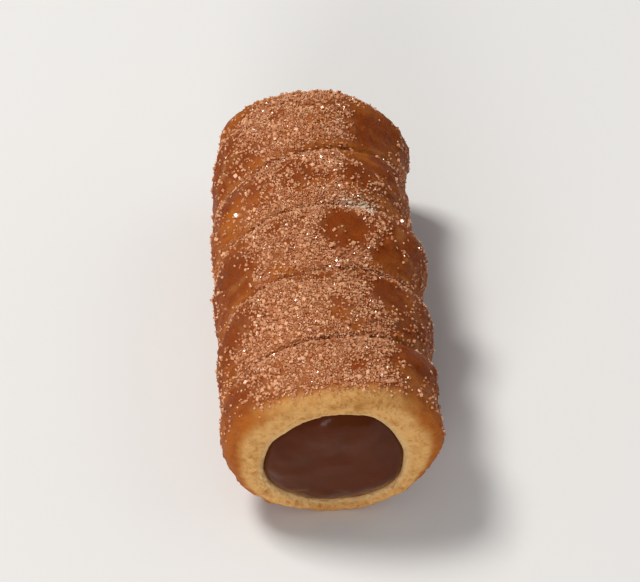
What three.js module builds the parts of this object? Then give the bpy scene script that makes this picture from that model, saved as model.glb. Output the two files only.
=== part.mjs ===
// A mini cream horn: a strip of dough wound into a tube, fried golden brown, and filled to both mouths
// with chocolate cream. It lies on its side on the flat spots that its turns press into the plate.
// Millimetres, +Z up. The axis runs along Y, the wide front mouth faces -Y, and the origin is the middle
// of the footprint. "Depth" is the distance from the front mouth along the axis, and an angle is counted
// round the axis from +X over the top, as seen from the front.
import * as THREE from "three";

// ---- Driving dimensions ----
const LENGTH = 60; // mouth to mouth
const FRONT_RADIUS = 14.5; // of the dough in the grooves between turns, at the front
const BACK_RADIUS = 13.4; // the same at the back, where the mould is narrower
const PITCH = 11.8; // from one turn of the strip to the next
const RIDGE = 0.9; // how far a turn's crest stands above the groove behind it
const RAISED_EDGE = 1.1; // extra height where the strip's edge stands off the turn behind
const FRONT_BORE = 10.1; // radius of the hole that the mould leaves, at the front
const BACK_BORE = 9.0;
const HOLE_DROP = 1.3; // how far the hole lies below the axis, because the wall is thinner underneath
const LIP = 3.4; // axial length of the rounding from the outside onto a mouth's face
const BORE_LIP = 0.9; // the same from the face into the hole
const RAGGED_DEPTH = 1.2; // how far in the hole's ragged edge mostly dies away
const FACE_SHARE = 0.36; // where a mouth's face stands furthest out, as a share of the wall from the hole
const FLAT = 1.0; // depth of the flat spots underneath
const SAG = 0.97; // height of the round section as a share of its width
const BOW = 0.7; // sideways bend of the tube at the middle of its length
const TAIL = THREE.MathUtils.degToRad(63); // where the front groove runs out at the front mouth

const CREAM_GAP = 0.3; // between the cream and the wall
const CREAM_EDGE = 0.7; // depth of the cream where it meets the wall
const CREAM_CROWN = -1.0; // the same at its middle, where it swells out of the mouth
const SWELL = 0.6; // how much further out the sagging part of the cream stands

// ---- Mesh density ----
const SPOKES = 60; // corners round the pastry
const TURN_ROWS = 11; // rows of corners in one turn of the strip
const RIM_ROWS = 8; // rows over each mouth, from the outside into the hole
const LOOP_ROWS = 76; // rows in the whole closed section: outside, back mouth, hole, front mouth
const CREAM_SPOKES = 40;
const DOME_RINGS = 7; // rings of corners on each end of the cream
const CORE_RINGS = 6; // rings along the hole

const TURN = 2 * Math.PI;
const { lerp, clamp, smoothstep, euclideanModulo: wrap } = THREE.MathUtils;

// ---- Shape of the wound strip ----

// Fraction of a turn by which the winding is set so that the front groove ends at the tail.
const WINDING_START = -TAIL / TURN;

// How far the groove wanders along the axis, because the strip isn't cut to an even width.
function grooveWander(angle, depth) {
  return 0.55 * Math.sin(2 * angle + 0.9 + 0.11 * depth) + 0.35 * Math.sin(angle - 0.21 * depth);
}

// Turns of the strip counted at a point of the outside: whole numbers are grooves.
function turnsAt(angle, depth) {
  return (depth - grooveWander(angle, depth)) / PITCH + angle / TURN + WINDING_START;
}

// A turn's own section, from one groove (0) to the next one behind it (1): it rises slowly, is highest
// where it lies on the turn behind, and drops off steeply there.
function crest(share) {
  return Math.pow(Math.max(0, Math.sin(Math.PI * Math.pow(share, 1.9))), 0.75);
}

// Height of the crest along the strip, which is thicker in some places than in others. Its edge stands
// off most in the third turn, at the upper right.
function ridgeHeight(alongStrip) {
  const uneven = 1 + 0.25 * Math.sin(0.83 * alongStrip + 1.2) + 0.2 * Math.sin(2.1 * alongStrip);
  return RIDGE * uneven + RAISED_EDGE * Math.exp(-Math.pow((alongStrip + 11.9) / 1.1, 2));
}

// Broad unevenness of the fried dough.
function lumps(angle, depth) {
  return (
    0.3 * Math.sin(2 * angle + 0.7 + 0.05 * depth) +
    0.22 * Math.sin(3 * angle - 0.19 * depth) +
    0.16 * Math.sin(5 * angle + 0.33 * depth + 1.3)
  );
}

// The dough slims towards the back, and more and more so.
function grooveRadius(depth) {
  return lerp(FRONT_RADIUS, BACK_RADIUS, Math.pow(depth / LENGTH, 2));
}

function outerRadius(angle, depth) {
  const turns = turnsAt(angle, depth);
  const turn = Math.floor(turns);
  const ridge = crest(turns - turn) * ridgeHeight(angle - TURN * turn);
  const inFromMouth = smoothstep(depth, 1, 9) * smoothstep(LENGTH - depth, 1, 7);
  return grooveRadius(depth) + lumps(angle, depth) + lerp(0.9 * RIDGE, ridge, inFromMouth);
}

// The hole is a little out of round, and its edge at each mouth is ragged.
function boreRadius(angle, depth) {
  const round = lerp(FRONT_BORE, BACK_BORE, depth / LENGTH);
  const outOfRound = -0.045 * Math.cos(2 * angle) + 0.035 * Math.sin(3 * angle - 2.36);
  const ragged = 0.24 * Math.sin(7 * angle + 1) + 0.16 * Math.sin(11 * angle + 2.3);
  const fade = Math.exp(-Math.min(depth, LENGTH - depth) / RAGGED_DEPTH);
  return round * (1 + outOfRound) + ragged * fade - HOLE_DROP * Math.sin(angle);
}

// How far a mouth stands forward or back on its way round. It dies away down the tube.
function faceWander(angle, depth) {
  const front = Math.pow(clamp(1 - depth / 9, 0, 1), 2);
  const back = Math.pow(clamp(1 - (LENGTH - depth) / 9, 0, 1), 2);
  return (
    front * (0.4 * Math.sin(angle + 2.6) + 0.22 * Math.sin(3 * angle)) -
    back * (0.35 * Math.sin(angle + 0.5) + 0.25 * Math.sin(4 * angle + 1))
  );
}

// Height of the tube's axis above the plate: the tapering tube lies on the plate along its underside.
function axisHeight(depth) {
  return SAG * (grooveRadius(depth) + RIDGE) - FLAT;
}

// A point at a radius from the axis, in the part's frame before it is centred. The plate presses flat
// whatever would sink into it.
function place(angle, depth, radius) {
  const outward = smoothstep(radius, 0, BACK_BORE);
  return new THREE.Vector3(
    radius * Math.cos(angle) - BOW * Math.sin((Math.PI * depth) / LENGTH),
    depth - LENGTH / 2 + outward * faceWander(angle, depth),
    Math.max(0, axisHeight(depth) + SAG * radius * Math.sin(angle))
  );
}

// ---- The pastry ----

// A point of a mouth's rounded lip. The share runs from the outside (0) over the face (0.5) into the hole (1).
function lipPoint(angle, share, atBack) {
  const outside = share < 0.5;
  const sweep = Math.PI * (outside ? share : share - 0.5);
  const inset = outside ? LIP * (1 - Math.sin(sweep)) : BORE_LIP * (1 - Math.cos(sweep));
  const depth = atBack ? LENGTH - inset : inset;
  const outer = outerRadius(angle, depth);
  const bore = boreRadius(angle, depth);
  const face = lerp(bore, outer, FACE_SHARE);
  const radius = outside ? lerp(face, outer, Math.cos(sweep)) : lerp(face, bore, Math.sin(sweep));
  return place(angle, depth, radius);
}

const OUTSIDE_ROWS = ((LENGTH - 2 * LIP) / PITCH) * TURN_ROWS;
const BORE_ROWS = LOOP_ROWS - OUTSIDE_ROWS - 2 * RIM_ROWS;

// A point of the pastry's closed section, by rows counted from the front lip along the outside.
function pastryPoint(angle, row) {
  const backLip = OUTSIDE_ROWS;
  const bore = backLip + RIM_ROWS;
  const frontLip = bore + BORE_ROWS;
  if (row < backLip) {
    const even = LIP + (row / TURN_ROWS) * PITCH;
    const ease = clamp(Math.min(row, backLip - row) / TURN_ROWS, 0, 1);
    const depth = even + ease * grooveWander(angle, even);
    return place(angle, depth, outerRadius(angle, depth));
  }
  if (row < bore) return lipPoint(angle, (row - backLip) / RIM_ROWS, true);
  if (row < frontLip) {
    const depth = lerp(LENGTH - BORE_LIP, BORE_LIP, (row - bore) / BORE_ROWS);
    return place(angle, depth, boreRadius(angle, depth));
  }
  return lipPoint(angle, 1 - (row - frontLip) / RIM_ROWS, false);
}

// A ring-shaped skin whose rows wind round the tube as the strip does, so that a row of corners lies in
// every groove: after one trip round, a row meets the one that is a turn further on.
function woundSkin() {
  const firstRow = TURN_ROWS * (LIP / PITCH + WINDING_START);
  const corners = [];
  const faces = [];
  for (let spoke = 0; spoke < SPOKES; spoke++) {
    const angle = (spoke / SPOKES) * TURN;
    for (let row = 0; row < LOOP_ROWS; row++) {
      const fromLip = row - firstRow - (TURN_ROWS * spoke) / SPOKES;
      corners.push(...pastryPoint(angle, wrap(fromLip, LOOP_ROWS)));
    }
  }
  const corner = (spoke, row) =>
    spoke < SPOKES
      ? spoke * LOOP_ROWS + wrap(row, LOOP_ROWS)
      : wrap(row - TURN_ROWS, LOOP_ROWS);
  for (let spoke = 0; spoke < SPOKES; spoke++) {
    for (let row = 0; row < LOOP_ROWS; row++) {
      const a = corner(spoke, row);
      const b = corner(spoke + 1, row);
      const c = corner(spoke + 1, row + 1);
      const d = corner(spoke, row + 1);
      faces.push(a, c, b, a, d, c);
    }
  }
  return meshOf(corners, faces);
}

// ---- The cream ----

// Depth of the cream's end face from its mouth: a low dome that sags forward at its lower right.
function domeDepth(angle, share) {
  const dome = lerp(CREAM_CROWN, CREAM_EDGE, Math.pow(share, 6));
  const fromSwell = Math.hypot(share * Math.cos(angle) - 0.2, share * Math.sin(angle) + 0.55);
  return dome - SWELL * (1 - Math.pow(share, 6)) * Math.exp(-Math.pow(fromSwell / 0.5, 2));
}

function creamPoint(angle, share, depth) {
  return place(angle, depth, share * (boreRadius(angle, depth) - CREAM_GAP));
}

function creamCore() {
  const rings = [];
  for (let i = 1; i <= DOME_RINGS; i++) {
    const share = Math.sin((i / DOME_RINGS) * (Math.PI / 2));
    rings.push((angle) => creamPoint(angle, share, domeDepth(angle, share)));
  }
  for (let i = 1; i < CORE_RINGS; i++) {
    const depth = lerp(CREAM_EDGE, LENGTH - CREAM_EDGE, i / CORE_RINGS);
    rings.push((angle) => creamPoint(angle, 1, depth));
  }
  for (let i = DOME_RINGS; i >= 1; i--) {
    const share = Math.sin((i / DOME_RINGS) * (Math.PI / 2));
    rings.push((angle) => creamPoint(angle, share, LENGTH - domeDepth(angle, share)));
  }
  const corners = [];
  for (const ring of rings) {
    for (let spoke = 0; spoke < CREAM_SPOKES; spoke++) {
      corners.push(...ring((spoke / CREAM_SPOKES) * TURN));
    }
  }
  const frontTip = rings.length * CREAM_SPOKES;
  const backTip = frontTip + 1;
  corners.push(...creamPoint(0, 0, domeDepth(0, 0)), ...creamPoint(0, 0, LENGTH - domeDepth(0, 0)));
  const faces = [];
  const lastRing = (rings.length - 1) * CREAM_SPOKES;
  for (let spoke = 0; spoke < CREAM_SPOKES; spoke++) {
    const next = (spoke + 1) % CREAM_SPOKES;
    faces.push(frontTip, spoke, next, backTip, lastRing + next, lastRing + spoke);
    for (let ring = 0; ring < rings.length - 1; ring++) {
      const a = ring * CREAM_SPOKES + spoke;
      const b = ring * CREAM_SPOKES + next;
      faces.push(a, a + CREAM_SPOKES, b + CREAM_SPOKES, a, b + CREAM_SPOKES, b);
    }
  }
  return meshOf(corners, faces);
}

// ---- Solids ----

function meshOf(corners, faces) {
  const geometry = new THREE.BufferGeometry();
  geometry.setAttribute("position", new THREE.Float32BufferAttribute(corners, 3));
  geometry.setIndex(faces);
  geometry.computeVertexNormals();
  return geometry;
}

const crust = new THREE.MeshStandardMaterial({ color: 0xb96f3a, roughness: 0.6, metalness: 0 });
const chocolate = new THREE.MeshStandardMaterial({ color: 0x4b2716, roughness: 0.35, metalness: 0 });

const pastry = new THREE.Mesh(woundSkin(), crust);
pastry.name = "pastry";
const cream = new THREE.Mesh(creamCore(), chocolate);
cream.name = "chocolate_cream";

const horn = new THREE.Group();
horn.add(pastry, cream);

// The origin goes to the middle of the footprint.
const middle = new THREE.Box3().setFromObject(horn).getCenter(new THREE.Vector3());
for (const piece of horn.children) piece.position.set(-middle.x, -middle.y, 0);

export default horn;
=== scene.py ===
"""A mini cream horn: a wound, fried pastry tube, filled to both mouths with chocolate cream and
rolled in sugar, on a pale tabletop.

The dough and the cream are laid out by the same winding rule as the solids they stand for, only with
a milder ragged edge round the hole. Inside the trees that shape them, lengths are millimetres and
angles are radians, counted round the tube from +X over the top as seen from the front mouth. "Depth"
is the distance from the front mouth along the tube. The sugar's trees and the materials work in
metres.
"""

import math
from functools import reduce

import bpy
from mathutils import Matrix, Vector


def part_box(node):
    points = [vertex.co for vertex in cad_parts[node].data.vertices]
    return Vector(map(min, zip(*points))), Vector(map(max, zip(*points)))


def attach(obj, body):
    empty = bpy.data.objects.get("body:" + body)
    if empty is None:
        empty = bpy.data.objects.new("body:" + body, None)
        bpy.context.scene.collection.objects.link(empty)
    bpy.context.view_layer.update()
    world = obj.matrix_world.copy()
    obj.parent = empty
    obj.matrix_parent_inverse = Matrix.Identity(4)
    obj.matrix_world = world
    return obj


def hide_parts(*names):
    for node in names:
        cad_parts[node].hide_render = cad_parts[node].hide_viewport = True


bl_info = {
    "name": "Mini cream horn",
    "version": (1, 0, 0),
    "blender": (4, 5, 0),
    "location": "3D View > Sidebar > Cream horn",
    "description": "Makes a sugared, cream-filled pastry horn and its tabletop",
    "category": "Add Mesh",
}

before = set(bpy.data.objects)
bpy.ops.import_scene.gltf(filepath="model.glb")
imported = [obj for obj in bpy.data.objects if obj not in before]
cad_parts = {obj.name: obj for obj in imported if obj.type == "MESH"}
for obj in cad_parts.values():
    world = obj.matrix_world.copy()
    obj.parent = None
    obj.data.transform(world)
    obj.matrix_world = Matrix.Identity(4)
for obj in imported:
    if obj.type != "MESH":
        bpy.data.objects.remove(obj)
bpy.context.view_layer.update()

MM = 0.001
TURN = 2 * math.pi

# Where the tube's axis starts from, so that the origin is the middle of the footprint
AXIS_SIDE = 0.35  # mm towards +X
AXIS_ALONG = -0.145  # mm towards +Y


# --------------------------------------------------------------------------------------------------
# Sizes and colours
# --------------------------------------------------------------------------------------------------


def length_property(name, description, millimetres):
    return bpy.props.FloatProperty(
        name=name,
        description=description,
        default=millimetres * MM,
        min=0,
        unit="LENGTH",
        precision=5,
    )


def share_property(name, description, share):
    return bpy.props.FloatProperty(name=name, description=description, default=share)


def angle_property(name, description, degrees):
    return bpy.props.FloatProperty(
        name=name, description=description, default=math.radians(degrees), unit="ROTATION"
    )


def colour_property(name, description, colour):
    return bpy.props.FloatVectorProperty(
        name=name, description=description, subtype="COLOR", size=3, min=0, max=1, default=colour
    )


class DoughSettings(bpy.types.PropertyGroup):
    """Sizes and colours of the wound dough"""

    length: length_property("Length", "From mouth to mouth", 60)
    front_radius: length_property("Front radius", "In the grooves between turns, at the front", 14.5)
    back_radius: length_property("Back radius", "In the grooves between turns, at the back", 13.4)
    pitch: length_property("Pitch", "From one turn of the strip to the next", 11.8)
    ridge: length_property("Ridge", "How far a turn's crest stands above its groove", 0.9)
    raised_edge: length_property("Raised edge", "Extra height where the strip's edge stands off", 1.1)
    front_bore: length_property("Front hole radius", "Radius of the hole at the front", 10.1)
    back_bore: length_property("Back hole radius", "Radius of the hole at the back", 9.0)
    hole_drop: length_property("Hole drop", "How far the hole lies below the tube's axis", 1.3)
    lip: length_property("Outer lip", "Length of the rounding onto a mouth's face", 3.4)
    bore_lip: length_property("Inner lip", "Length of the rounding into the hole", 0.9)
    ragged_depth: length_property("Ragged depth", "How far in the hole's ragged edge reaches", 1.2)
    flat: length_property("Flat", "Depth of the flat spots underneath", 1.0)
    bow: length_property("Bow", "Sideways bend at the middle of the tube", 0.7)
    crease: length_property("Crease", "Depth of the fold line at the bottom of a groove", 0.55)
    blisters: length_property("Blisters", "Height of the blisters that frying raises", 0.3)
    bubbles: length_property("Bubbles", "Height of the small bubbles under the crust", 0.34)
    wrinkles: length_property("Wrinkles", "Height of the small wrinkles of the crust", 0.12)
    crumb: length_property("Crumb", "Height of the rough crumb on the mouths", 0.16)
    face_share: share_property("Face share", "Where a mouth stands out most, from the hole", 0.36)
    sag: share_property("Sag", "Height of the section per width", 0.97)
    tail: angle_property("Tail", "Angle at which the front groove meets the mouth", 63)
    golden: colour_property("Golden", "Colour of the lightly fried dough", (0.46, 0.13, 0.018))
    brown: colour_property("Brown", "Colour of the well fried dough", (0.26, 0.049, 0.005))
    # Dark is also the colour of the painted shade along the fold lines of the grooves
    dark: colour_property("Dark", "Colour of the crests that browned most", (0.17, 0.034, 0.004))
    pale: colour_property("Pale", "Colour of the dough at the mouths", (0.76, 0.43, 0.155))
    # Toasted is also the colour of the painted shade inside the crumb's pores
    toasted_and_pore_shade: colour_property("Toasted", "Colour of the crumb that toasted", (0.53, 0.225, 0.055))
    rim: colour_property("Rim", "Colour of the crust next to the mouths", (0.56, 0.225, 0.05))
    edge: colour_property("Edge", "Colour of the soft edge of the hole", (0.78, 0.54, 0.27))
    syrup: colour_property("Syrup", "Colour of the dough under the sugar", (0.42, 0.155, 0.065))


class CreamSettings(bpy.types.PropertyGroup):
    """Sizes and colour of the piped cream"""

    gap: length_property("Gap", "Between the cream and the wall of the hole", 0.06)
    edge_depth: length_property("Edge depth", "Depth of the cream where it meets the wall", 0.7)
    crown: length_property("Crown", "How far the cream swells out of a mouth at its middle", 1.0)
    swell: length_property("Swell", "How much further out the sagging part stands", 0.6)
    ripple: length_property("Ripple", "Height of the soft ripples of the surface", 0.26)
    colour: colour_property("Colour", "Colour of the cream", (0.084, 0.018, 0.004))


class SugarSettings(bpy.types.PropertyGroup):
    """Sizes and colour of the sugar"""

    crystal: length_property("Crystal", "Usual width of a coarse crystal", 0.46)
    dust: length_property("Dust", "Usual width of a fine grain", 0.26)
    crystal_gap: length_property("Crystal gap", "Least distance between coarse crystals", 0.42)
    dust_gap: length_property("Dust gap", "Least distance between fine grains", 0.24)
    seed: bpy.props.IntProperty(name="Seed", description="Start of the random draws", default=11)
    colour: colour_property("Colour", "Colour of the sugar", (0.92, 0.50, 0.28))
    tinted: colour_property("Tinted", "Colour of grains soaked by fat", (0.50, 0.175, 0.066))
    dry: colour_property("Dry", "Colour of the dry sugar in some grooves", (0.90, 0.76, 0.60))


class StageSettings(bpy.types.PropertyGroup):
    """Table, lights and camera"""

    azimuth: angle_property("Azimuth", "Direction of the camera", -3.5)
    elevation: angle_property("Elevation", "Of the camera above the table", 50)
    distance: length_property("Distance", "From the camera to the horn", 620)
    view_height: length_property("View height", "What the picture shows from bottom to top", 84)
    table: colour_property("Table", "Colour of the tabletop", (0.83, 0.83, 0.83))
    table_width: length_property("Table width", "Of the square tabletop", 3000)
    sky: share_property("Sky", "Strength of the even light from all round", 0.22)


# --------------------------------------------------------------------------------------------------
# Arithmetic in node trees
# --------------------------------------------------------------------------------------------------


def socket_named(sockets, name):
    """The socket of that name that is in use."""
    for socket in sockets:
        if socket.name == name and socket.enabled:
            return socket
    raise KeyError(name)


def feed(tree, value, socket):
    """Puts a number, a vector or another node's output into a socket."""
    if isinstance(value, Term):
        tree.links.new(value.socket, socket)
    else:
        socket.default_value = value


def add(tree, kind, inputs=None, **settings):
    """Adds a node with its settings and inputs."""
    node = tree.nodes.new(kind)
    for name, value in settings.items():
        setattr(node, name, value)
    for name, value in (inputs or {}).items():
        feed(tree, value, socket_named(node.inputs, name))
    return node


class Term:
    """A node's output that can be used in ordinary arithmetic."""

    def __init__(self, tree, socket):
        self.tree = tree
        self.socket = socket

    def combined(self, operation, *others, backwards=False):
        node = self.tree.nodes.new("ShaderNodeMath")
        node.operation = operation
        values = [self, *others]
        if backwards:
            values.reverse()
        for value, socket in zip(values, node.inputs):
            feed(self.tree, value, socket)
        return Term(self.tree, node.outputs[0])

    def __add__(self, other):
        return self.combined("ADD", other)

    def __radd__(self, other):
        return self.combined("ADD", other)

    def __sub__(self, other):
        return self.combined("SUBTRACT", other)

    def __rsub__(self, other):
        return self.combined("SUBTRACT", other, backwards=True)

    def __mul__(self, other):
        return self.combined("MULTIPLY", other)

    def __rmul__(self, other):
        return self.combined("MULTIPLY", other)

    def __truediv__(self, other):
        return self.combined("DIVIDE", other)

    def __pow__(self, other):
        return self.combined("POWER", other)

    def __neg__(self):
        return self.combined("MULTIPLY", -1.0)


def sine(term):
    return term.combined("SINE")


def cosine(term):
    return term.combined("COSINE")


def least(term, other):
    return term.combined("MINIMUM", other)


def most(term, other):
    return term.combined("MAXIMUM", other)


def below(term, limit):
    """1 where the term is less than the limit, otherwise 0."""
    return term.combined("LESS_THAN", limit)


def between(low, high, share):
    return low + (high - low) * share


def bell(term, width):
    """1 where the term is 0, dying away on both sides."""
    scaled = term / width
    return (-(scaled * scaled)).combined("EXPONENT")


def smooth(term, start, end):
    """0 up to start, 1 from end on, and a smooth rise between them."""
    node = add(
        term.tree,
        "ShaderNodeMapRange",
        {"Value": term, "From Min": start, "From Max": end},
        interpolation_type="SMOOTHSTEP",
    )
    return Term(term.tree, socket_named(node.outputs, "Result"))


def clipped(term):
    return least(most(term, 0.0), 1.0)


def vector(tree, x, y, z):
    node = add(tree, "ShaderNodeCombineXYZ", {"X": x, "Y": y, "Z": z})
    return Term(tree, node.outputs[0])


def parts(term):
    """The X, Y and Z of a vector."""
    node = add(term.tree, "ShaderNodeSeparateXYZ", {"Vector": term})
    return [Term(term.tree, output) for output in node.outputs]


def scaled(term, factor):
    node = add(
        term.tree, "ShaderNodeVectorMath", {"Vector": term, "Scale": factor}, operation="SCALE"
    )
    return Term(term.tree, node.outputs[0])


def cloud(term, width, detail=2.0, roughness=0.5):
    """Soft noise from 0 to 1 whose lumps are about that wide, in the units of the given place."""
    node = add(
        term.tree,
        "ShaderNodeTexNoise",
        {"Vector": term, "Scale": 1.0 / width, "Detail": detail, "Roughness": roughness},
    )
    return Term(term.tree, node.outputs[0])


def swing(term, width, detail=2.0, roughness=0.5):
    """The same noise, from about -1 to 1."""
    return (cloud(term, width, detail, roughness) - 0.5) * 3.0


def bubble_height(term, width, share):
    """0 to 1 over round bubbles about that wide, of which only a share of the possible ones rise."""
    node = add(term.tree, "ShaderNodeTexVoronoi", {"Vector": term, "Scale": 1.0 / width})
    distance = Term(term.tree, socket_named(node.outputs, "Distance"))
    chance, size, _ = parts(Term(term.tree, socket_named(node.outputs, "Color")))
    reach = between(0.25, 0.5, size)
    dome = most(1 - (distance / reach) ** 2.0, 0.0) ** 0.5
    return dome * below(chance, share) * between(0.4, 1.0, size)


# --------------------------------------------------------------------------------------------------
# The winding rule
# --------------------------------------------------------------------------------------------------

# The strip's edge stands off round one place, in radians along the strip
RAISED_AT = -11.9
RAISED_REACH = 1.1
CREST_LEAN = 1.9  # above 1, a turn rises slowly and falls steeply
CREST_FULLNESS = 0.75  # below 1, a turn's section is fuller than a sine
LIP_HEIGHT = 0.9  # of a ridge, at the mouths
MOUTH_REACH = 9  # mm, how far in a mouth's wandering goes


class Winding:
    """The wound strip of dough, as arithmetic in one node tree."""

    def __init__(self, inputs):
        self.size = inputs

    def wander(self, angle, depth):
        """How far a groove wanders along the tube, because the strip isn't cut to an even width."""
        return 0.55 * sine(2 * angle + 0.9 + 0.11 * depth) + 0.35 * sine(angle - 0.21 * depth)

    def turns(self, angle, depth):
        """Turns of the strip counted at a point of the outside: whole numbers are grooves."""
        along = (depth - self.wander(angle, depth)) / self.size["Pitch"]
        return along + (angle - self.size["Tail"]) / TURN

    def crest(self, share):
        """A turn's own section: a slow rise, then a steep fall onto the turn behind."""
        return most(sine(math.pi * share**CREST_LEAN), 0.0) ** CREST_FULLNESS

    def ridge_height(self, along_strip):
        uneven = 1 + 0.25 * sine(0.83 * along_strip + 1.2) + 0.2 * sine(2.1 * along_strip)
        raised = bell(along_strip - RAISED_AT, RAISED_REACH)
        return self.size["Ridge"] * uneven + self.size["Raised edge"] * raised

    def lumps(self, angle, depth):
        """Broad unevenness of the fried dough."""
        oval = 0.3 * sine(2 * angle + 0.7 + 0.05 * depth)
        three_sided = 0.22 * sine(3 * angle - 0.19 * depth)
        return oval + three_sided + 0.16 * sine(5 * angle + 0.33 * depth + 1.3)

    def groove_radius(self, depth):
        share = depth / self.size["Length"]
        return between(self.size["Front radius"], self.size["Back radius"], share * share)

    def in_from_mouth(self, depth):
        """0 at the mouths, where the last turn is smoothed into the lip, and 1 along the tube."""
        return smooth(depth, 1.0, 9.0) * smooth(self.size["Length"] - depth, 1.0, 7.0)

    def outer_radius(self, angle, depth):
        turns = self.turns(angle, depth)
        turn = turns.combined("FLOOR")
        ridge = self.crest(turns - turn) * self.ridge_height(angle - TURN * turn)
        height = between(LIP_HEIGHT * self.size["Ridge"], ridge, self.in_from_mouth(depth))
        return self.groove_radius(depth) + self.lumps(angle, depth) + height

    def bore_radius(self, angle, depth):
        size = self.size
        even = between(size["Front hole radius"], size["Back hole radius"], depth / size["Length"])
        out_of_round = 0.035 * sine(3 * angle - 2.36) - 0.045 * cosine(2 * angle)
        ragged = 0.14 * sine(7 * angle + 1.0) + 0.09 * sine(11 * angle + 2.3)
        fade = (-least(depth, size["Length"] - depth) / size["Ragged depth"]).combined("EXPONENT")
        return even * (1 + out_of_round) + ragged * fade - size["Hole drop"] * sine(angle)

    def mouth_wander(self, angle, depth):
        """How far a mouth stands forward or back on its way round."""
        front = clipped(1 - depth / MOUTH_REACH) ** 2
        back = clipped(1 - (self.size["Length"] - depth) / MOUTH_REACH) ** 2
        in_front = 0.4 * sine(angle + 2.6) + 0.22 * sine(3 * angle)
        behind = 0.35 * sine(angle + 0.5) + 0.25 * sine(4 * angle + 1)
        return front * in_front - back * behind

    def place(self, angle, depth, radius):
        """A point at a radius from the axis. The table presses flat what would sink into it."""
        size = self.size
        bend = size["Bow"] * sine(math.pi * depth / size["Length"])
        outward = smooth(radius, 0.0, size["Back hole radius"])
        axis_height = size["Sag"] * (self.groove_radius(depth) + size["Ridge"]) - size["Flat"]
        return vector(
            radius.tree,
            radius * cosine(angle) - bend + AXIS_SIDE,
            depth - size["Length"] / 2 + outward * self.mouth_wander(angle, depth) + AXIS_ALONG,
            most(axis_height + size["Sag"] * radius * sine(angle), 0.0),
        )


# Settings that both the dough's tree and the cream's tree take, by their names there
WINDING_INPUTS = {
    "Length": "length",
    "Front radius": "front_radius",
    "Back radius": "back_radius",
    "Pitch": "pitch",
    "Ridge": "ridge",
    "Raised edge": "raised_edge",
    "Front hole radius": "front_bore",
    "Back hole radius": "back_bore",
    "Hole drop": "hole_drop",
    "Outer lip": "lip",
    "Inner lip": "bore_lip",
    "Ragged depth": "ragged_depth",
    "Flat": "flat",
    "Bow": "bow",
}


def winding_values(dough):
    """The winding's sizes in the trees' millimetres, and its two plain numbers."""
    values = {name: getattr(dough, setting) / MM for name, setting in WINDING_INPUTS.items()}
    values["Sag"] = dough.sag
    values["Tail"] = dough.tail
    return values


# --------------------------------------------------------------------------------------------------
# Making meshes with node trees
# --------------------------------------------------------------------------------------------------

SAME_PLACE = 0.001  # mm, within which corners are one


class Recipe:
    """A geometry node tree with a named input for each value, run on an object to give a mesh."""

    def __init__(self, name, values):
        self.tree = bpy.data.node_groups.new(name, "GeometryNodeTree")
        self.values = values
        interface = self.tree.interface
        interface.new_socket("Geometry", in_out="INPUT", socket_type="NodeSocketGeometry")
        for label, value in values.items():
            kind = "NodeSocketInt" if isinstance(value, int) else "NodeSocketFloat"
            interface.new_socket(label, in_out="INPUT", socket_type=kind)
        interface.new_socket("Geometry", in_out="OUTPUT", socket_type="NodeSocketGeometry")
        self.start = self.tree.nodes.new("NodeGroupInput")
        self.end = self.tree.nodes.new("NodeGroupOutput")

    def __getitem__(self, label):
        return Term(self.tree, self.start.outputs[label])

    def add(self, kind, inputs=None, **settings):
        return add(self.tree, kind, inputs, **settings)

    def step(self, kind, geometry, inputs=None, **settings):
        """Adds a node that takes geometry in and gives geometry out."""
        node = self.add(kind, inputs, **settings)
        self.tree.links.new(geometry.socket, node.inputs[0])
        return Term(self.tree, node.outputs[0])

    def placed(self, geometry, position):
        return self.step("GeometryNodeSetPosition", geometry, {"Position": position})

    def shifted(self, geometry, offset):
        return self.step("GeometryNodeSetPosition", geometry, {"Offset": offset})

    def raised(self, geometry, height):
        """Moves the surface out by a height of its own at each corner."""
        return self.shifted(geometry, scaled(self.normal(), height))

    def store(self, geometry, name, value):
        return self.step(
            "GeometryNodeStoreNamedAttribute",
            geometry,
            {"Name": name, "Value": value},
            data_type="FLOAT",
            domain="POINT",
        )

    def stored(self, name):
        node = self.add("GeometryNodeInputNamedAttribute", {"Name": name}, data_type="FLOAT")
        return Term(self.tree, node.outputs[0])

    def position(self):
        return Term(self.tree, self.tree.nodes.new("GeometryNodeInputPosition").outputs[0])

    def normal(self):
        return Term(self.tree, self.tree.nodes.new("GeometryNodeInputNormal").outputs[0])

    def grid(self, columns, rows):
        """A sheet of corners, with each corner's share of the way across and up."""
        node = self.add("GeometryNodeMeshGrid", {"Vertices X": columns, "Vertices Y": rows})
        across, up, _ = parts(Term(self.tree, node.outputs["UV Map"]))
        return Term(self.tree, node.outputs["Mesh"]), across, up

    def closed(self, sheet):
        """Joins the edges of a sheet that has been rolled up, with its faces outwards."""
        joined = self.step("GeometryNodeMergeByDistance", sheet, {"Distance": SAME_PLACE})
        return self.step("GeometryNodeFlipFaces", joined)

    def run(self, piece, geometry, material):
        """Finishes the tree, runs it on the piece and leaves the piece a plain mesh."""
        geometry = self.step("GeometryNodeRealizeInstances", geometry)
        geometry = self.step("GeometryNodeSetMaterial", geometry, {"Material": material})
        self.tree.links.new(geometry.socket, self.end.inputs[0])
        modifier = piece.modifiers.new(self.tree.name, "NODES")
        modifier.node_group = self.tree
        for socket in self.tree.interface.items_tree:
            if socket.in_out == "INPUT" and socket.name in self.values:
                modifier[socket.identifier] = self.values[socket.name]
        evaluated = piece.evaluated_get(bpy.context.evaluated_depsgraph_get())
        mesh = bpy.data.meshes.new_from_object(evaluated)
        if not mesh.polygons:
            raise RuntimeError(f"{self.tree.name} made no faces")
        mesh.name = piece.name
        piece.modifiers.clear()
        piece.data = mesh
        return piece


def new_piece(name, mesh=None):
    piece = bpy.data.objects.new(name, mesh or bpy.data.meshes.new(name))
    bpy.context.scene.collection.objects.link(piece)
    return piece


def finish_piece(piece, *replaced, slot=None):
    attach(piece, "root")
    if replaced:
        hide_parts(*replaced)


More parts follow.
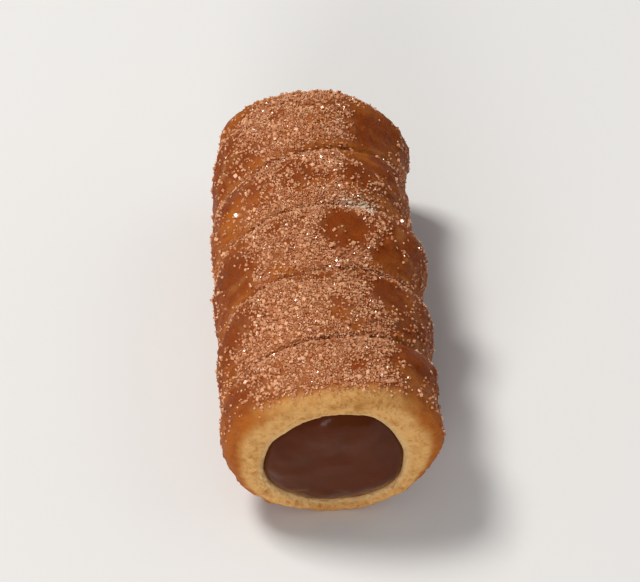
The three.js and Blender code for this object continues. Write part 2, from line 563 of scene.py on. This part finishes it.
# --------------------------------------------------------------------------------------------------
# The dough
# --------------------------------------------------------------------------------------------------

DOUGH_COLUMNS = 311  # corners round the tube, the first and last of which become one
DOUGH_ROWS = 301  # corners round the closed section: outside, back lip, hole, front lip
OUTSIDE_SHARE = 0.70  # of the rows
LIP_SHARE = 0.11  # of the rows, for each lip

MEAN_RADIUS = 15.0  # mm, which turns an angle into a distance round the outside
SUGAR_AT = math.radians(93)  # where the sugar lies thickest
# Places on the outside where the sugar didn't hold, as (angle in degrees, depth, width)
BARE_SPOTS = (
    (75, 30.5, 3.9),
    (52, 20.0, 3.2),
    (48, 27.0, 3.0),
    (143, 25.0, 4.6),
    (64, 41.0, 3.0),
    (40, 9.5, 4.0),
    (48, 52.5, 6.0),
    (55, 46.0, 4.2),
)
# Where sugar has gathered most
DRIFTS = (
    (62, 37.0, 2.8),
    (100, 14.0, 5.0),
    (104, 24.0, 5.0),
    (112, 47.0, 4.5),
    (132, 11.5, 4.5),
)
# Stretches of groove filled with dry, white sugar, which are longer round the tube than along it
WHITE_GROOVES = ((60, 36.0, 3.4), (205, 28.0, 3.4))
GROOVE_WIDTH = 1.3  # mm


def spot_cover(angle, depth, spots, along_width=None):
    """1 at the middle of each spot, dying away round it. Spots are round unless they are given a
    width along the tube."""
    covers = []
    for degrees, along, width in spots:
        across = sine((angle - math.radians(degrees)) / 2) * 2 * MEAN_RADIUS
        covers.append(bell(across, width) * bell(depth - along, along_width or width))
    return reduce(most, covers)


def sugar_cover(angle, depth, groove, white):
    """How much sugar the outside holds, from 0 to 1: a band along the top, the grooves beside it, a
    little on the flanks, none on the bare spots, and more where it drifted."""
    towards_sugar = cosine(angle - SUGAR_AT)
    band = smooth(towards_sugar, 0.56, 0.95)
    cover = most(band, groove * smooth(towards_sugar, -0.1, 0.6))
    cover = most(cover, 0.1 * smooth(sine(angle), -0.5, 0.3))
    cover = cover * (1 - smooth(spot_cover(angle, depth, BARE_SPOTS), 0.15, 0.75))
    return most(most(cover, spot_cover(angle, depth, DRIFTS)), white)


def section_share(up):
    """How far through a lip a row is, from the outside (0) over the face (0.5) into the hole (1)."""
    into_back = clipped((up - OUTSIDE_SHARE) / LIP_SHARE)
    out_of_front = clipped((up - (1 - LIP_SHARE)) / LIP_SHARE)
    return into_back - out_of_front


def section_depth(recipe, up, share):
    """The depth of a row of the closed section."""
    lip = between(recipe["Inner lip"], recipe["Outer lip"], below(share, 0.5))
    inset = lip * (1 - sine(math.pi * share))
    length = recipe["Length"]
    on_outside = below(up, OUTSIDE_SHARE)
    before_hole = below(up, OUTSIDE_SHARE + LIP_SHARE)
    before_front_lip = below(up, 1 - LIP_SHARE)
    outside = between(recipe["Outer lip"], length - recipe["Outer lip"], up / OUTSIDE_SHARE)
    hole_share = (up - OUTSIDE_SHARE - LIP_SHARE) / (1 - OUTSIDE_SHARE - 2 * LIP_SHARE)
    hole = between(length - recipe["Inner lip"], recipe["Inner lip"], hole_share)
    return between(
        between(between(inset, hole, before_front_lip), length - inset, before_hole),
        outside,
        on_outside,
    )


def section_radius(recipe, winding, angle, depth, share):
    outer = winding.outer_radius(angle, depth)
    bore = winding.bore_radius(angle, depth)
    face = between(bore, outer, recipe["Face share"])
    outer_part = between(face, outer, cosine(math.pi * share))
    inner_part = between(face, bore, -cosine(math.pi * share))
    return between(inner_part, outer_part, below(share, 0.5))


def make_dough(dough):
    """Winds the dough tube, folds its grooves and raises its blisters and crumb."""
    values = winding_values(dough)
    values["Face share"] = dough.face_share
    for label in ("Crease", "Blisters", "Bubbles", "Wrinkles", "Crumb"):
        values[label] = getattr(dough, label.lower()) / MM
    recipe = Recipe("wound dough", values)
    winding = Winding(recipe)
    sheet, across, up = recipe.grid(DOUGH_COLUMNS, DOUGH_ROWS)
    angle = across * TURN
    share = section_share(up)
    depth = section_depth(recipe, up, share)
    radius = section_radius(recipe, winding, angle, depth, share)

    # What the finish and the sugar follow
    turns = winding.turns(angle, depth)
    turn_share = turns.combined("FRACT")
    inward = winding.in_from_mouth(depth)
    outside = 1 - smooth(share, 0.1, 0.45)
    from_groove = least(turn_share, 1 - turn_share) * recipe["Pitch"]
    from_mouth = least(depth, recipe["Length"] - depth)
    groove = bell(from_groove, 1.1) * inward * outside
    # The fold is pressed in as a crease, and the finish also paints shade along it
    fold = bell(from_groove, 0.45) * inward * outside
    pale_top = smooth(sine(angle), 0.35, 0.95) * (1 - smooth(from_mouth, 0.8, 2.6))
    white = spot_cover(angle, depth, WHITE_GROOVES, GROOVE_WIDTH)
    cover = sugar_cover(angle, depth, groove, white)
    followed = {
        "groove": groove,
        "fold": fold,
        "crest": winding.crest(turn_share) * inward * outside,
        "mouth": most(smooth(share, 0.2, 0.46), 0.75 * pale_top),
        "face": 1 - outside,
        "inner": smooth(share, 0.5, 0.9),
        "inside": smooth(share, 0.7, 0.95),
        "sugared": cover * outside * smooth(from_mouth, 0.5, 3.0),
        "white": white * outside,
    }
    for name, value in followed.items():
        sheet = recipe.store(sheet, name, value)
    closed = recipe.closed(recipe.placed(sheet, winding.place(angle, depth, radius)))
    skin = fried(recipe, closed)
    x, y, z = parts(recipe.position())
    on_table = vector(recipe.tree, x * MM, y * MM, most(z, 0.0) * MM)
    skin = recipe.step("GeometryNodeSetShadeSmooth", recipe.placed(skin, on_table))
    return recipe.run(new_piece("dough_tube"), skin, crust_finish(dough))


def fried(recipe, closed):
    """Thins the sugar in broad patches, and raises the closed tube's blisters, bubbles, wrinkles and
    crumb."""
    spot = recipe.position()
    pores = most(bubble_height(spot, 1.6, 0.3), bubble_height(spot, 0.9, 0.3))
    closed = recipe.store(closed, "pore", pores * recipe.stored("face"))
    x, y, z = parts(spot)
    drifted = smooth(cloud(vector(recipe.tree, 0.6 * x, y, 0.6 * z), 4.5, 2.0), 0.36, 0.54)
    thinned = recipe.stored("sugared") * between(0.35, 1.0, drifted)
    closed = recipe.store(closed, "sugared", most(thinned, recipe.stored("white")))
    blisters = recipe["Blisters"] * swing(spot, 4.2, 2.0) * (1 - 0.6 * recipe.stored("mouth"))
    on_crust = 1 - recipe.stored("face")
    small = bubble_height(spot, 2.4, 0.42) + 0.6 * bubble_height(spot, 1.5, 0.3)
    bubbles = recipe["Bubbles"] * small * on_crust
    wrinkles = recipe["Wrinkles"] * swing(spot, 1.1, 3.0, 0.6)
    crumb = recipe["Crumb"] * (swing(spot, 0.8, 3.0, 0.65) - 1.8 * recipe.stored("pore"))
    crumb = crumb * recipe.stored("face")
    relief = blisters + bubbles + wrinkles + crumb - recipe["Crease"] * recipe.stored("fold")
    return recipe.raised(closed, relief * (1 - recipe.stored("inside")))


# --------------------------------------------------------------------------------------------------
# The cream
# --------------------------------------------------------------------------------------------------

CREAM_COLUMNS = 181
CREAM_ROWS = 161
DOME_SHARE = 0.42  # of the rows, for each end
DOME_FLATNESS = 6.0  # the higher, the flatter the middle and the steeper the edge
SWELL_AT = (0.2, -0.55)  # of the hole's radius, to the right and up
SWELL_REACH = 0.5


def make_cream(dough, cream):
    """Pipes the cream through the tube, with a low, slightly uneven dome in each mouth."""
    values = winding_values(dough)
    for label in ("Gap", "Edge depth", "Crown", "Swell", "Ripple"):
        values[label] = getattr(cream, label.lower().replace(" ", "_")) / MM
    recipe = Recipe("piped cream", values)
    winding = Winding(recipe)
    sheet, across, up = recipe.grid(CREAM_COLUMNS, CREAM_ROWS)
    angle = across * TURN
    length = recipe["Length"]
    to_edge = least(clipped(up / DOME_SHARE), clipped((1 - up) / DOME_SHARE))
    share = sine(to_edge * (math.pi / 2))
    flatness = share**DOME_FLATNESS
    dome = between(-recipe["Crown"], recipe["Edge depth"], flatness)
    from_swell_x = share * cosine(angle) - SWELL_AT[0]
    from_swell_z = share * sine(angle) - SWELL_AT[1]
    from_swell = (from_swell_x * from_swell_x + from_swell_z * from_swell_z) ** 0.5
    dome = dome - recipe["Swell"] * (1 - flatness) * bell(from_swell, SWELL_REACH)
    side_share = clipped((up - DOME_SHARE) / (1 - 2 * DOME_SHARE))
    side = between(recipe["Edge depth"], length - recipe["Edge depth"], side_share)
    front = below(up, DOME_SHARE)
    behind = 1 - below(up, 1 - DOME_SHARE)
    depth = between(between(side, length - dome, behind), dome, front)
    radius = share * (winding.bore_radius(angle, depth) - recipe["Gap"])
    sheet = recipe.store(sheet, "end", 1 - smooth(share, 0.9, 1.0))
    closed = recipe.closed(recipe.placed(sheet, winding.place(angle, depth, radius)))
    ripple = recipe["Ripple"] * swing(recipe.position(), 4.2, 1.0) * recipe.stored("end")
    rippled = recipe.raised(closed, ripple)
    skin = recipe.placed(rippled, scaled(recipe.position(), MM))
    skin = recipe.step("GeometryNodeSetShadeSmooth", skin)
    return recipe.run(new_piece("cream_filling"), skin, cream_finish(cream))


# --------------------------------------------------------------------------------------------------
# The sugar
# --------------------------------------------------------------------------------------------------

PLACES_PER_GAP = 2.0  # places tried in each square as wide as the gap
GRAIN_LIFT = 0.22  # of a grain's width, from the skin to the grain's middle
SLIGHTEST_GRAIN = (0.55, 0.6, 0.5)  # of the usual width, along the grain's own three directions
STOUTEST_GRAIN = (1.15, 1.3, 1.0)
DUST_SEED_STEP = 10  # so that dust and crystals lie differently


def scatter_grains(name, skin, width, gap, seed, cover, material):
    """Scatters boxy sugar grains over a copy of the dough's skin. cover turns the sugared share, and
    the place in metres, into the share of places that hold a grain."""
    recipe = Recipe(name, {"Width": width, "Gap": gap, "Seed": seed})
    tree = recipe.tree
    points = recipe.add(
        "GeometryNodeDistributePointsOnFaces",
        {
            "Mesh": Term(tree, recipe.start.outputs["Geometry"]),
            "Distance Min": recipe["Gap"],
            "Density Max": PLACES_PER_GAP / (gap * gap),
            "Density Factor": cover(recipe.stored("sugared"), recipe.position()),
            "Seed": recipe["Seed"],
        },
        distribute_method="POISSON",
    )
    tone = recipe.add(
        "FunctionNodeRandomValue",
        {"Min": 0.0, "Max": 1.0, "Seed": recipe["Seed"] + 3},
        data_type="FLOAT",
    )
    toned = recipe.store(
        Term(tree, points.outputs["Points"]), "tone", Term(tree, socket_named(tone.outputs, "Value"))
    )
    lift = scaled(Term(tree, points.outputs["Normal"]), recipe["Width"] * GRAIN_LIFT)
    box = recipe.add("GeometryNodeMeshCube", {"Size": (1.0, 1.0, 1.0)})
    turn = recipe.add(
        "FunctionNodeRandomValue",
        {"Min": (0.0, 0.0, 0.0), "Max": (TURN, TURN, TURN), "Seed": recipe["Seed"] + 1},
        data_type="FLOAT_VECTOR",
    )
    stretch = recipe.add(
        "FunctionNodeRandomValue",
        {"Min": SLIGHTEST_GRAIN, "Max": STOUTEST_GRAIN, "Seed": recipe["Seed"] + 2},
        data_type="FLOAT_VECTOR",
    )
    grains = recipe.step(
        "GeometryNodeInstanceOnPoints",
        recipe.shifted(toned, lift),
        {
            "Instance": Term(tree, box.outputs["Mesh"]),
            "Rotation": Term(tree, turn.outputs[0]),
            "Scale": scaled(Term(tree, stretch.outputs[0]), recipe["Width"]),
        },
    )
    return recipe.run(new_piece(name, skin.data.copy()), grains, material)


def coarse_cover(sugared, spot):
    """Coarse crystals gather in patches and are never dense."""
    patches = smooth(cloud(spot, 0.0035, 3.0, 0.6), 0.38, 0.64)
    return clipped(sugared * (0.15 + 0.85 * patches)) * 0.6


def fine_cover(sugared, spot):
    """Fine grains lie more evenly."""
    patches = smooth(cloud(spot, 0.0026, 3.0, 0.6), 0.28, 0.52)
    return clipped(sugared * (0.35 + 0.65 * patches))


# --------------------------------------------------------------------------------------------------
# Finishes
# --------------------------------------------------------------------------------------------------


class Finish:
    """A material with one surface shader."""

    def __init__(self, name):
        self.material = bpy.data.materials.new(name)
        self.material.use_nodes = True
        self.tree = self.material.node_tree
        self.surface = self.tree.nodes["Principled BSDF"]
        place = self.tree.nodes.new("ShaderNodeTexCoord")
        self.place = Term(self.tree, place.outputs["Object"])

    def set(self, values):
        for name, value in values.items():
            feed(self.tree, value, self.surface.inputs[name])

    def attribute(self, name):
        node = add(self.tree, "ShaderNodeAttribute", attribute_name=name, attribute_type="GEOMETRY")
        return Term(self.tree, node.outputs["Fac"])

    def tint(self, colour, other, share):
        """One colour turning into another as the share goes from 0 to 1."""
        node = add(
            self.tree,
            "ShaderNodeMix",
            {"Factor": share, "A": as_colour(colour), "B": as_colour(other)},
            data_type="RGBA",
        )
        return Term(self.tree, socket_named(node.outputs, "Result"))

    def bump(self, height, depth):
        """Fine relief whose full height is the depth, in metres."""
        node = add(
            self.tree, "ShaderNodeBump", {"Height": height, "Distance": depth, "Strength": 1.0}
        )
        self.tree.links.new(node.outputs[0], self.surface.inputs["Normal"])


def as_colour(value):
    return value if isinstance(value, Term) else (*value, 1.0)


def crust_finish(dough):
    """Golden to brown fried dough, streaked round the tube and palest at the mouths, with painted
    shade in the groove folds and the crumb's pores.
    """
    finish = Finish("fried dough")
    spot = finish.place
    x, y, z = parts(spot)
    crest = finish.attribute("crest")
    groove = finish.attribute("groove")
    mouth = finish.attribute("mouth")
    sugared = finish.attribute("sugared")
    broad = cloud(spot, 0.009, 2.0)
    streaks = cloud(vector(finish.tree, 0.3 * x, y, 0.3 * z), 0.0024, 3.0, 0.55)
    mottle = cloud(spot, 0.0022, 4.0, 0.6)
    fine = cloud(spot, 0.0006, 3.0, 0.6)
    bare = 1 - sugared
    coils = (0.07 + 0.07 * bare) * crest - (0.06 + 0.1 * bare) * groove
    browned = smooth(0.55 * broad + 0.45 * streaks + coils, 0.40, 0.62)
    colour = finish.tint(tuple(dough.golden), tuple(dough.brown), browned)
    burnt = smooth(0.5 * streaks + 0.5 * mottle + 0.08 * crest, 0.56, 0.74)
    # Painted shade: the fold line at the bottom of each groove is darkened towards the dark colour,
    # added to the well-fried spots
    burnt_and_painted_fold_shade = clipped(0.7 * burnt + 0.55 * finish.attribute("fold"))
    colour = finish.tint(colour, tuple(dough.dark), burnt_and_painted_fold_shade)
    speckled = smooth(cloud(spot, 0.0009, 3.0, 0.65), 0.5, 0.68)
    colour = finish.tint(colour, tuple(dough.brown), 0.4 * speckled)
    rim = mouth + 0.7 * (mottle - 0.5) + 0.9 * (broad - 0.5)
    colour = finish.tint(colour, tuple(dough.rim), 0.8 * smooth(rim, 0.05, 0.5))
    toasted_and_pore_shade = 0.5 * smooth(fine, 0.5, 0.66) + 0.5 * smooth(0.6 * mottle + 0.4 * broad, 0.46, 0.6)
    # Painted shade: the crumb's pores are darkened towards the toasted colour, on top of the real
    # toasted patches
    toasted_and_pore_shade = clipped(toasted_and_pore_shade + 0.5 * finish.attribute("pore"))
    crumb = finish.tint(tuple(dough.pale), tuple(dough.toasted_and_pore_shade), toasted_and_pore_shade)
    colour = finish.tint(colour, crumb, smooth(rim, 0.35, 0.9))
    soft_edge = smooth(finish.attribute("inner"), 0.1, 0.9)
    colour = finish.tint(colour, tuple(dough.edge), 0.55 * soft_edge)
    syrup = sugared * smooth(mottle + 0.5 * (fine - 0.5), 0.3, 0.62)
    finish.set(
        {
            "Base Color": finish.tint(colour, tuple(dough.syrup), 0.8 * syrup),
            "Roughness": between(0.62, 0.42, smooth(mottle, 0.3, 0.7)),
            "Specular IOR Level": 0.07,
            "Subsurface Weight": 0.12,
            "Subsurface Radius": (1.0, 0.45, 0.2),
            "Subsurface Scale": 0.0012,
        }
    )
    finish.bump(cloud(spot, 0.0008, 5.0, 0.7), 0.0004)
    return finish.material


def cream_finish(cream):
    """Smooth, satin chocolate cream."""
    finish = Finish("chocolate cream")
    streaks = cloud(finish.place, 0.004, 2.0)
    deep = tuple(0.84 * channel for channel in cream.colour)
    light = tuple(1.2 * channel for channel in cream.colour)
    finish.set(
        {
            "Base Color": finish.tint(deep, light, streaks),
            "Roughness": between(0.14, 0.26, cloud(finish.place, 0.0015, 3.0)),
            "Specular IOR Level": 0.12,
        }
    )
    finish.bump(cloud(finish.place, 0.0012, 3.0), 0.00006)
    return finish.material


def sugar_finish(sugar):
    """Slightly clear sugar, each grain with a tone of its own."""
    finish = Finish("sugar")
    tone = finish.attribute("tone")
    colour = finish.tint(tuple(sugar.tinted), tuple(sugar.colour), tone**1.4)
    dry = clipped(1.3 * finish.attribute("white")) * (0.5 + 0.5 * tone)
    finish.set(
        {
            "Base Color": finish.tint(colour, tuple(sugar.dry), dry),
            "Roughness": 0.16,
            "Subsurface Weight": 0.5,
            "Subsurface Radius": (1.0, 0.9, 0.8),
            "Subsurface Scale": 0.0003,
        }
    )
    return finish.material


# --------------------------------------------------------------------------------------------------
# Table, lights and camera
# --------------------------------------------------------------------------------------------------

PICTURE_SIZE = (640, 582)
SENSOR_WIDTH = 36.0  # mm

# Each light: name, place in metres, width in metres, watts, colour
LIGHTS = (
    ("key", (-0.42, 0.26, 0.92), 0.28, 7.6, (1.0, 0.97, 0.92)),
    ("front", (-0.3, -0.98, 0.36), 0.5, 4.9, (1.0, 0.98, 0.95)),
    ("right", (0.8, 0.1, 0.6), 0.8, 0.9, (1.0, 0.99, 0.98)),
)


def aim(thing, target):
    direction = Vector(target) - thing.location
    thing.rotation_euler = direction.to_track_quat("-Z", "Y").to_euler()


def make_table(stage):
    half = stage.table_width / 2
    mesh = bpy.data.meshes.new("table_top")
    corners = [(-half, -half, 0), (half, -half, 0), (half, half, 0), (-half, half, 0)]
    mesh.from_pydata(corners, [], [(0, 1, 2, 3)])
    table = new_piece("table_top", mesh)
    finish = Finish("table")
    finish.set({"Base Color": as_colour(tuple(stage.table)), "Roughness": 0.8})
    mesh.materials.append(finish.material)


def make_lights(stage, target):
    for name, place, width, watts, colour in LIGHTS:
        light = bpy.data.lights.new(name, "AREA")
        light.size = width
        light.energy = watts
        light.color = colour
        lamp = bpy.data.objects.new(name, light)
        lamp.location = place
        bpy.context.scene.collection.objects.link(lamp)
        aim(lamp, target)
    world = bpy.data.worlds.new("studio")
    world.use_nodes = True
    background = world.node_tree.nodes["Background"]
    background.inputs["Color"].default_value = (1.0, 1.0, 1.0, 1.0)
    background.inputs["Strength"].default_value = stage.sky
    bpy.context.scene.world = world
    bpy.context.scene.view_settings.view_transform = "Standard"


def make_camera(stage, target):
    data = bpy.data.cameras.new("camera")
    data.sensor_width = SENSOR_WIDTH
    view_width = stage.view_height * PICTURE_SIZE[0] / PICTURE_SIZE[1]
    data.lens = SENSOR_WIDTH * stage.distance / view_width
    data.clip_start = 0.01
    camera = bpy.data.objects.new("camera", data)
    flat = math.cos(stage.elevation) * stage.distance
    camera.location = Vector(target) + Vector(
        (
            math.sin(stage.azimuth) * flat,
            -math.cos(stage.azimuth) * flat,
            math.sin(stage.elevation) * stage.distance,
        )
    )
    bpy.context.scene.collection.objects.link(camera)
    aim(camera, target)
    bpy.context.scene.camera = camera


# --------------------------------------------------------------------------------------------------
# Operators and panel
# --------------------------------------------------------------------------------------------------


class HORN_OT_stage(bpy.types.Operator):
    """Lay the pale tabletop and set up the soft lights and the camera"""

    bl_idname = "horn.stage"
    bl_label = "Table, lights and camera"

    def execute(self, context):
        stage = context.scene.horn_stage
        low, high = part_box("pastry")
        middle = (low + high) / 2
        make_table(stage)
        make_lights(stage, middle)
        make_camera(stage, middle)
        return {"FINISHED"}


class HORN_OT_dough(bpy.types.Operator):
    """Wind and fry the dough tube"""

    bl_idname = "horn.dough"
    bl_label = "Dough tube"

    def execute(self, context):
        finish_piece(make_dough(context.scene.horn_dough), "pastry", slot="pastry")
        return {"FINISHED"}


class HORN_OT_cream(bpy.types.Operator):
    """Pipe the chocolate cream"""

    bl_idname = "horn.cream"
    bl_label = "Cream filling"

    def execute(self, context):
        scene = context.scene
        piece = make_cream(scene.horn_dough, scene.horn_cream)
        finish_piece(piece, "chocolate_cream", slot="chocolate_cream")
        return {"FINISHED"}


class HORN_OT_sugar(bpy.types.Operator):
    """Sprinkle the coarse and the fine sugar"""

    bl_idname = "horn.sugar"
    bl_label = "Sugar"

    def execute(self, context):
        sugar = context.scene.horn_sugar
        skin = bpy.data.objects.get("dough_tube")
        if skin is None:
            raise RuntimeError("make the dough tube before the sugar")
        material = sugar_finish(sugar)
        gap = sugar.crystal_gap
        coarse = scatter_grains(
            "sugar_crystals", skin, sugar.crystal, gap, sugar.seed, coarse_cover, material
        )
        dust_seed = sugar.seed + DUST_SEED_STEP
        fine = scatter_grains(
            "sugar_dust", skin, sugar.dust, sugar.dust_gap, dust_seed, fine_cover, material
        )
        for piece in (coarse, fine):
            finish_piece(piece)
        return {"FINISHED"}


class HORN_PT_panel(bpy.types.Panel):
    """Settings of the cream horn"""

    bl_idname = "HORN_PT_panel"
    bl_label = "Cream horn"
    bl_space_type = "VIEW_3D"
    bl_region_type = "UI"
    bl_category = "Cream horn"

    def draw(self, context):
        for operator, settings in STEPS:
            box = self.layout.box()
            box.operator(operator)
            group = getattr(context.scene, settings)
            for name in group.bl_rna.properties.keys():
                if name not in ("rna_type", "name"):
                    box.prop(group, name)


# Each step of the making, with the settings that it reads
STEPS = (
    ("horn.stage", "horn_stage"),
    ("horn.dough", "horn_dough"),
    ("horn.cream", "horn_cream"),
    ("horn.sugar", "horn_sugar"),
)

GROUPS = {
    "horn_dough": DoughSettings,
    "horn_cream": CreamSettings,
    "horn_sugar": SugarSettings,
    "horn_stage": StageSettings,
}

CLASSES = (
    *GROUPS.values(),
    HORN_OT_stage,
    HORN_OT_dough,
    HORN_OT_cream,
    HORN_OT_sugar,
    HORN_PT_panel,
)


def register():
    for cls in CLASSES:
        bpy.utils.register_class(cls)
    for name, group in GROUPS.items():
        setattr(bpy.types.Scene, name, bpy.props.PointerProperty(type=group))


def unregister():
    for name in GROUPS:
        delattr(bpy.types.Scene, name)
    for cls in reversed(CLASSES):
        bpy.utils.unregister_class(cls)


def main():
    register()
    for operator, _ in STEPS:
        group, name = operator.split(".")
        getattr(getattr(bpy.ops, group), name)()


if __name__ == "__main__":
    main()
